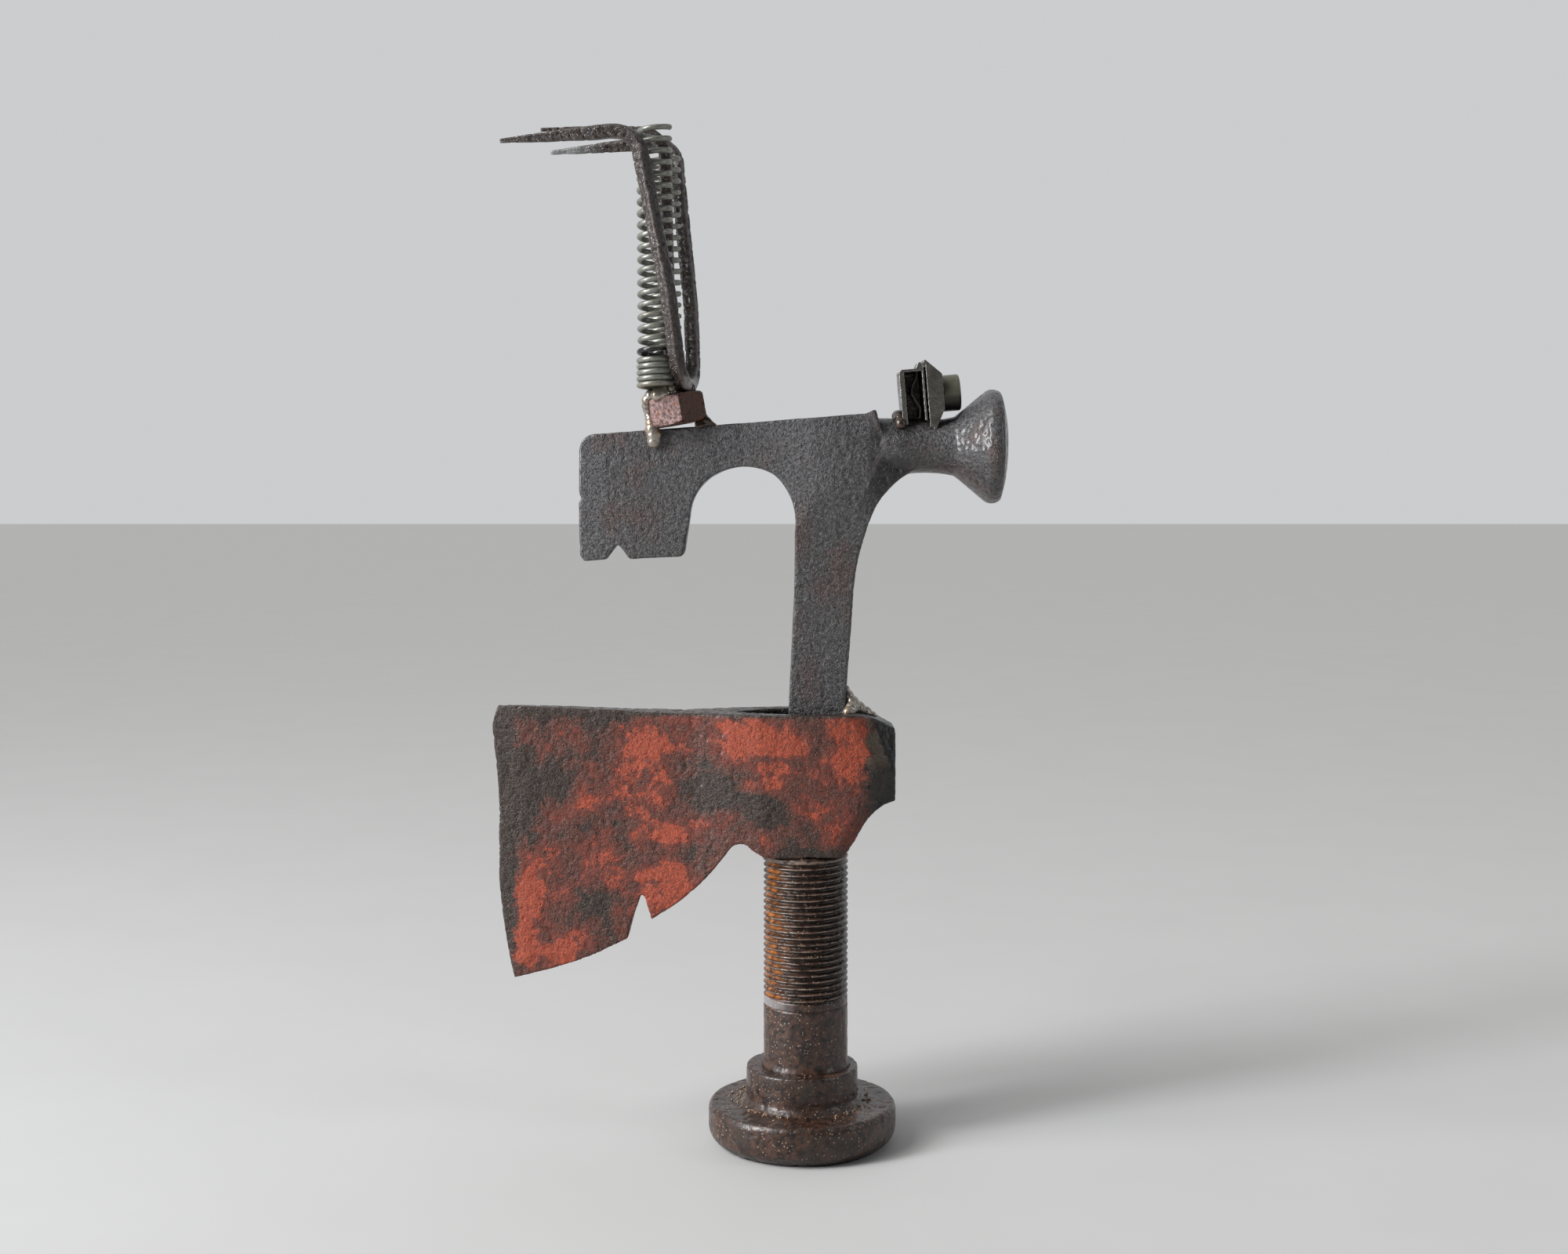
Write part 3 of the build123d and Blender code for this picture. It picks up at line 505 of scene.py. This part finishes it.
def mesh_from(name, points, faces):
    """An object from points in millimetres."""
    mesh = bpy.data.meshes.new(name)
    mesh.from_pydata([tuple(float(c) * MM for c in p) for p in points], [], faces)
    mesh.update()
    return new_object(name, mesh)


def applied(obj):
    """Puts the result of obj's modifiers in its mesh."""
    graph = bpy.context.evaluated_depsgraph_get()
    mesh = bpy.data.meshes.new_from_object(obj.evaluated_get(graph))
    obj.modifiers.clear()
    obj.data = mesh
    return obj


def remodel(name, nodes, voxel, relax=2):
    """A finely meshed copy of CAD nodes with softened edges; voxel is in millimetres."""
    gathered = bmesh.new()
    for node in nodes:
        gathered.from_mesh(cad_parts[node].data)
    bmesh.ops.remove_doubles(gathered, verts=gathered.verts, dist=0.002 * MM)
    mesh = bpy.data.meshes.new(name)
    gathered.to_mesh(mesh)
    gathered.free()
    obj = new_object(name, mesh)
    remesh = obj.modifiers.new("remesh", "REMESH")
    remesh.mode = "VOXEL"
    remesh.voxel_size = voxel * MM
    if relax:
        smooth = obj.modifiers.new("relax", "SMOOTH")
        smooth.factor = 0.5
        smooth.iterations = relax
    return applied(obj)


def places(mesh):
    values = np.zeros(len(mesh.vertices) * 3)
    mesh.vertices.foreach_get("co", values)
    return values.reshape(-1, 3)


def normals(mesh):
    values = np.zeros(len(mesh.vertices) * 3)
    mesh.vertex_normals.foreach_get("vector", values)
    return values.reshape(-1, 3)


def cloud(points, size, octaves, seed):
    """Signed noise at each point, with features size millimetres wide."""
    scale = 1 / (size * MM)
    shift = Vector((seed * 17.31, seed * 5.77, seed * 11.13))
    return np.array([noise.fractal(Vector(p) * scale + shift, 0.8, 2.1, octaves) for p in points])


def weather(obj, waves=0.0, pits=0.0, wave_size=9.0, pit_size=2.4, swell=0.0, seed=1.0):
    """Moves the surface in by up to waves and pits, and out by swell, all in millimetres."""
    mesh = obj.data
    co = places(mesh)
    out = normals(mesh)
    offset = np.full(len(co), swell)
    if waves:
        offset -= waves * np.clip(0.5 + 0.6 * cloud(co, wave_size, 2, seed), 0, 1)
    if pits:
        offset -= pits * np.clip(1.7 * cloud(co, pit_size, 3, seed + 3) - 0.15, 0, 1)
    co += out * (offset * MM)[:, None]
    mesh.vertices.foreach_set("co", co.ravel())
    mesh.update()
    return obj


def smooth_shaded(obj):
    obj.data.polygons.foreach_set("use_smooth", [True] * len(obj.data.polygons))
    obj.data.update()
    return obj


def place_piece(obj, material, nodes, body=ROOT):
    """Gives a finished piece its material, hides the CAD nodes it stands in for and ties it to its
    body.
    """
    obj.data.materials.clear()
    obj.data.materials.append(material)
    smooth_shaded(obj)
    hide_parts(*nodes)
    if body:
        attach(obj, body)
    return obj


def rounded(corners, radii, step=0.5):
    """Points every step millimetres along straight runs whose corners are arcs of these radii."""
    corners = [Vector(c) for c in corners]
    path = [corners[0]]
    for before, corner, after, radius in zip(corners, corners[1:], corners[2:], radii):
        into = (corner - before).normalized()
        onward = (after - corner).normalized()
        turn = into.angle(onward)
        reach = radius * math.tan(turn / 2)
        first = corner - into * reach
        side = (onward - into * onward.dot(into)).normalized()
        centre = first + side * radius
        steps = max(3, int(radius * turn / step))
        for index in range(steps + 1):
            angle = turn * index / steps
            path.append(centre + into * (radius * math.sin(angle)) - side * (radius * math.cos(angle)))
    path.append(corners[-1])
    even = [path[0]]
    for a, b in zip(path, path[1:]):
        count = max(1, int((b - a).length / step))
        even += [a.lerp(b, (index + 1) / count) for index in range(count)]
    return even


def frames_along(path, first_side):
    """A side and an up vector at each point, carried along without twist."""
    result = []
    side = Vector(first_side)
    for index in range(len(path)):
        ahead = path[min(index + 1, len(path) - 1)]
        behind = path[max(index - 1, 0)]
        forward = (ahead - behind).normalized()
        side = (side - forward * side.dot(forward)).normalized()
        result.append((side, forward.cross(side)))
    return result


def tube(name, path, outline, first_side=(0, 1, 0), sides=28):
    """A closed tube; outline(share, angle) gives its radius in millimetres at a share of the path."""
    points, faces = [], []
    frames = frames_along(path, first_side)
    last = len(path) - 1
    for index, (centre, (side, up)) in enumerate(zip(path, frames)):
        for k in range(sides):
            angle = 2 * math.pi * k / sides
            radius = outline(index / last, angle)
            points.append(centre + side * (radius * math.cos(angle)) + up * (radius * math.sin(angle)))
    for index in range(last):
        for k in range(sides):
            a = index * sides + k
            b = index * sides + (k + 1) % sides
            faces.append((a, b, b + sides, a + sides))
    for ring, turned in ((0, True), (last, False)):
        middle = len(points)
        points.append(path[ring])
        for k in range(sides):
            a = ring * sides + k
            b = ring * sides + (k + 1) % sides
            faces.append((middle, b, a) if turned else (middle, a, b))
    return mesh_from(name, points, faces)


# ---- pieces --------------------------------------------------------------------------------
def make_foot():
    """The flange and collar; the underside stays flat on the floor."""
    foot = remodel("round_foot", ["base_foot"], 0.55)
    flat = places(foot.data)[:, 2] < 0.3 * MM
    weather(foot, waves=0.22, pits=0.25, wave_size=11, pit_size=2.6, seed=2)
    co = places(foot.data)
    co[flat, 2] = 0.0
    foot.data.vertices.foreach_set("co", co.ravel())
    return place_piece(foot, foot_steel(), ["base_foot"])


def stud_radius(z, angle):
    """Radius of the stud at a height and an angle: step, shank, band and right-hand thread."""
    if z < STEP_TOP:
        return STUD_R + STEP_R
    if z < STEP_TOP + STEP_R:
        return STUD_R + STEP_TOP + STEP_R - z
    if z < BAND_BOTTOM:
        return STUD_R
    if z < BAND_BOTTOM + BAND_GROOVE:
        return STUD_R - 0.4
    if z < BAND_TOP - BAND_GROOVE:
        return STUD_R - 0.1
    if z < BAND_TOP:
        return STUD_R - 0.9
    phase = (z / THREAD_PITCH - angle / (2 * math.pi)) % 1.0
    ridge = 1 - abs(2 * phase - 1)
    shape = min(1.0, max(0.0, (ridge - 0.10) / 0.72))
    fade = min(1.0, max(0.0, (THREAD_END - z) / 1.6))
    depth = THREAD_DEPTH * (1 - shape) * fade
    chamfer = max(0.0, z - CHAMFER_FOOT) * 0.9
    return STUD_R - depth - chamfer


def make_stud():
    """Rings of points up the stud, wide apart on the shank and close together on the thread."""
    sides = 176
    thread_foot = 47.0
    shank_levels = np.arange(STUD_FOOT, thread_foot, 0.8)
    thread_levels = np.arange(thread_foot, STUD_TOP, 0.19)
    levels = [*shank_levels, *thread_levels, STUD_TOP]
    points, faces = [], []
    for z in levels:
        for k in range(sides):
            angle = 2 * math.pi * k / sides
            radius = stud_radius(z, angle)
            points.append((STUD_X + radius * math.cos(angle), radius * math.sin(angle), z))
    for row in range(len(levels) - 1):
        for k in range(sides):
            a = row * sides + k
            b = row * sides + (k + 1) % sides
            faces.append((a, b, b + sides, a + sides))
    last = (len(levels) - 1) * sides
    for first, z, turned in ((0, STUD_FOOT, True), (last, STUD_TOP, False)):
        middle = len(points)
        points.append((STUD_X, 0, z))
        for k in range(sides):
            a = first + k
            b = first + (k + 1) % sides
            faces.append((middle, b, a) if turned else (middle, a, b))
    stud = mesh_from("threaded_stud_skin", points, faces)
    weather(stud, waves=0.08, pits=0.22, wave_size=5, pit_size=2.2, seed=5)
    return place_piece(stud, threaded_steel(), ["threaded_stud"])


def make_crumbs():
    """Loose rust that has gathered on the flange round the collar."""
    random = np.random.default_rng(7)
    crumb_count = 150
    flange_top = 14.0
    collar_edge = 20.3
    left_share = 0.6
    gathered = bmesh.new()
    for _ in range(crumb_count):
        angle = random.normal(math.pi if random.random() < left_share else 0.0, 0.8)
        out = collar_edge + abs(random.normal(0, 1.9))
        size = random.uniform(0.10, 0.42)
        place = Vector((out * math.cos(angle), out * math.sin(angle), flange_top + size * 0.1)) * MM
        turn = Matrix.Rotation(random.uniform(0, math.pi), 4, "Z")
        stretch = Matrix.Diagonal((*random.uniform(0.7, 1.5, 3), 1.0))
        pose = Matrix.Translation(place) @ turn @ stretch
        bmesh.ops.create_icosphere(gathered, subdivisions=1, radius=size * MM, matrix=pose)
    mesh = bpy.data.meshes.new("rust_crumbs")
    gathered.to_mesh(mesh)
    gathered.free()
    crumbs = new_object("rust_crumbs", mesh)
    s = Shader("rust_crumb")
    colour = s.mix(s.noise(1.0), (0.16, 0.075, 0.035), (0.46, 0.33, 0.22))
    crumbs.data.materials.append(s.finish(colour, 0.0, 0.8, s.noise(0.3), 0.05))
    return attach(crumbs, ROOT)


def make_hatchet():
    head = remodel("hatchet_head_skin", ["hatchet_head"], 0.55)
    weather(head, waves=0.45, pits=0.34, wave_size=13, pit_size=2.0, swell=0.24, seed=3)
    return place_piece(head, hatchet_paint(), ["hatchet_head"])


def make_hammer():
    head = remodel("hammer_head_skin", ["hammer_head"], 0.55)
    weather(head, waves=0.22, pits=0.24, wave_size=10, pit_size=1.7, swell=0.12, seed=4)
    return place_piece(head, hammer_steel(), ["hammer_head"])


def make_nut():
    nut = remodel("hex_nut_skin", ["hex_nut"], 0.24, relax=1)
    weather(nut, waves=0.10, pits=0.12, wave_size=4, pit_size=1.3, seed=6)
    return place_piece(nut, nut_steel(), ["hex_nut"])


def tine_outline(start_share, end_share, turn_degrees):
    """Squarish hammered section that tapers to a point before start_share and after end_share."""
    def outline(share, angle):
        local = angle + math.radians(turn_degrees(share))
        squareness = 1 + 0.14 * math.cos(4 * local)
        size = ROD_R
        if share < start_share:
            size = TIP_R + (size - TIP_R) * (share / start_share) ** 0.8
        if share > end_share:
            size = TIP_R + (size - TIP_R) * ((1 - share) / (1 - end_share)) ** 0.8
        return size * squareness
    return outline


def make_claw():
    """One rod makes the front and the rear tine; the middle tine's foot stands in the nut."""
    steel = claw_steel()
    outer = rounded(FRONT_TINE + REAR_TINE, [PRONG_R, KNEE_R, U_BEND_R, U_BEND_R, KNEE_R, PRONG_R])
    taper = 0.115
    hidden_foot = 0.0001

    def outer_turn(share):
        """Degrees: the square section stands on edge, but lies flat along the front leg."""
        into_leg = min(1.0, max(0.0, (share - 0.14) / 0.05))
        into_rear = min(1.0, max(0.0, (share - 0.44) / 0.10))
        return 45 - 45 * into_leg + 45 * into_rear

    rod = tube("outer_tines_skin", outer, tine_outline(taper, 1 - taper, outer_turn))
    weather(rod, waves=0.20, pits=0.42, wave_size=6, pit_size=1.4, swell=0.20, seed=8)
    place_piece(rod, steel, ["outer_tines"])
    middle = rounded(MIDDLE_TINE, [KNEE_R, PRONG_R])
    on_edge = tine_outline(hidden_foot, 0.80, lambda share: 45.0)
    straight = tube("middle_tine_skin", middle, on_edge)
    weather(straight, waves=0.20, pits=0.35, wave_size=6, pit_size=1.5, swell=0.05, seed=9)
    place_piece(straight, steel, ["middle_tine"])


def spring_point(turn, centre):
    """A point of the wire's centre line: closed turns, then evenly stretched ones."""
    closed = min(turn, CLOSED_TURNS)
    opened = max(0.0, turn - CLOSED_TURNS)
    z = SPRING_FOOT_Z + closed * CLOSED_PITCH + opened * OPEN_PITCH
    angle = 2 * math.pi * turn
    radius = COIL_R + CLOSED_EXTRA_R * max(0.0, 1 - 0.7 * opened)
    return Vector((centre.x + radius * math.cos(angle), centre.y + radius * math.sin(angle), z))


def make_spring(name, node, open_turns, material):
    """One wire: closed turns at its foot, then open turns, then one free last turn."""
    low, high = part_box(node)
    centre = (low + high) / 2 / MM
    turns = CLOSED_TURNS + open_turns + 1
    steps = int(turns * 44)
    path = [spring_point(turns * k / steps, centre) for k in range(steps + 1)]
    spring = tube(name, path, lambda share, angle: WIRE_R, first_side=(1, 0, 0), sides=14)
    weather(spring, waves=0.05, pits=0.05, wave_size=1.6, pit_size=0.9, seed=10)
    place_piece(spring, material, [node, node + "_end"], body=None)
    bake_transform(spring)


def make_springs():
    wire = spring_wire()
    make_spring("front_coil_spring", "front_spring", FRONT_OPEN_TURNS, wire)
    make_spring("rear_coil_spring", "rear_spring", REAR_OPEN_TURNS, wire)


def make_clip():
    steel = clip_steel()
    for node, name in (
        ("clip_bracket", "clip_bracket_skin"),
        ("clip_plate", "clip_plate_skin"),
        ("clip_tongue", "clip_tongue_skin"),
    ):
        sheet = remodel(name, [node], 0.20)
        weather(sheet, waves=0.05, pits=0.04, wave_size=4, pit_size=1.5, swell=0.03, seed=11)
        place_piece(sheet, steel, [node])
    barrel = remodel("clip_barrel_skin", ["clip_barrel"], 0.20)
    place_piece(barrel, barrel_steel(), ["clip_barrel"])


def make_welds():
    """Melted beads: each CAD lump is relaxed and then swelled, the thin ones at the stud the most."""
    brown = weld_metal(
        "brown_weld", (0.060, 0.028, 0.018), (0.26, 0.135, 0.095), (0.48, 0.36, 0.34), 0.35
    )
    silver = weld_metal(
        "silver_weld", (0.10, 0.085, 0.070), (0.50, 0.45, 0.39), (0.42, 0.24, 0.08), 0.40
    )
    dark = weld_metal(
        "dark_weld", (0.018, 0.013, 0.011), (0.085, 0.060, 0.048), (0.14, 0.07, 0.04), 0.30
    )
    for node, metal, voxel, relax, swell in (
        ("base_weld_front", brown, 0.32, 2, 1.90),
        ("base_weld_rear", brown, 0.32, 2, 1.90),
        ("tang_weld", silver, 0.28, 14, 0.45),
        ("nut_weld_left", silver, 0.22, 14, 0.45),
        ("nut_weld_right", dark, 0.24, 14, 0.45),
        ("tine_weld", dark, 0.28, 14, 0.45),
        ("spring_weld", silver, 0.26, 14, 0.45),
        ("clip_weld", dark, 0.26, 14, 0.10),
    ):
        bead = remodel(node + "_bead", [node], voxel, relax)
        weather(bead, waves=0.40, pits=0.08, wave_size=3.0, pit_size=1.4, swell=swell, seed=12)
        place_piece(bead, metal, [node])


# ---- stage ---------------------------------------------------------------------------------
def make_floor():
    reach = 9e3
    corners = [(-reach, -reach, 0), (reach, -reach, 0), (reach, reach, 0), (-reach, reach, 0)]
    floor = mesh_from("floor", corners, [(0, 1, 2, 3)])
    s = Shader("pale_floor")
    colour = s.mix(s.noise(60.0, detail=3.0), (0.47, 0.465, 0.455), (0.50, 0.495, 0.485))
    floor.data.materials.append(s.finish(colour, 0.0, 0.75, s.noise(2.0), 0.02))


def make_sky():
    """Pale surroundings, brightest behind the object and to its left, dark behind the camera."""
    world = bpy.data.worlds.new("studio")
    bpy.context.scene.world = world
    world.use_nodes = True
    tree = world.node_tree
    sky = tree.nodes["Background"]
    direction = tree.nodes.new("ShaderNodeTexCoord").outputs["Generated"]
    parts = tree.nodes.new("ShaderNodeSeparateXYZ")
    tree.links.new(direction, parts.inputs[0])
    fall = tree.nodes.new("ShaderNodeMapRange")
    fall.interpolation_type = "SMOOTHSTEP"
    fall.inputs["From Min"].default_value = -0.9
    fall.inputs["From Max"].default_value = 0.5
    fall.inputs["To Min"].default_value = 0.05
    fall.inputs["To Max"].default_value = 1.0
    lean = tree.nodes.new("ShaderNodeMath")
    lean.operation = "MULTIPLY_ADD"
    lean.inputs[1].default_value = -0.35
    tree.links.new(parts.outputs["X"], lean.inputs[0])
    tree.links.new(parts.outputs["Y"], lean.inputs[2])
    tree.links.new(lean.outputs[0], fall.inputs["Value"])
    sky.inputs["Color"].default_value = (0.60, 0.608, 0.62, 1)
    tree.links.new(fall.outputs[0], sky.inputs["Strength"])


def add_light(name, place, size, power):
    """A cool window-like panel that faces the object's middle; sizes in metres, power in watts."""
    light = bpy.data.lights.new(name, "AREA")
    light.shape = "RECTANGLE"
    light.size, light.size_y = size
    light.energy = power
    light.color = (0.94, 0.97, 1.0)
    lamp = new_object(name, light)
    lamp.location = place
    middle = Vector((0.0, 0.0, 0.17))
    lamp.rotation_euler = (middle - Vector(place)).to_track_quat("-Z", "Y").to_euler()


def make_lights():
    sun = bpy.data.lights.new("daylight", "SUN")
    sun.energy = 2.3
    sun.angle = math.radians(35)
    sky = new_object("daylight", sun)
    sky.rotation_euler = Vector((0.75, 0.35, -0.72)).to_track_quat("-Z", "Y").to_euler()
    add_light("window_left", (-1.0, -0.50, 0.55), (0.22, 0.8), 15.0)
    add_light("soft_right", (0.9, -0.35, 0.5), (0.25, 0.7), 1.5)


def make_camera():
    """At the object's own height, close in front, tilted a little down."""
    camera = bpy.data.cameras.new("camera")
    camera.lens = 45.0
    camera.sensor_width = 36.0
    camera.clip_start = 0.01
    view = new_object("camera", camera)
    view.location = (-0.00617, -0.655, 0.22534)
    view.rotation_euler = (math.radians(90 - 4.346), 0, 0)
    bpy.context.scene.camera = view


def main():
    make_camera()
    make_floor()
    make_sky()
    make_lights()
    make_foot()
    make_stud()
    make_crumbs()
    make_hatchet()
    make_hammer()
    make_nut()
    make_claw()
    make_springs()
    make_clip()
    make_welds()
    bpy.context.scene.view_settings.view_transform = "Standard"


main()
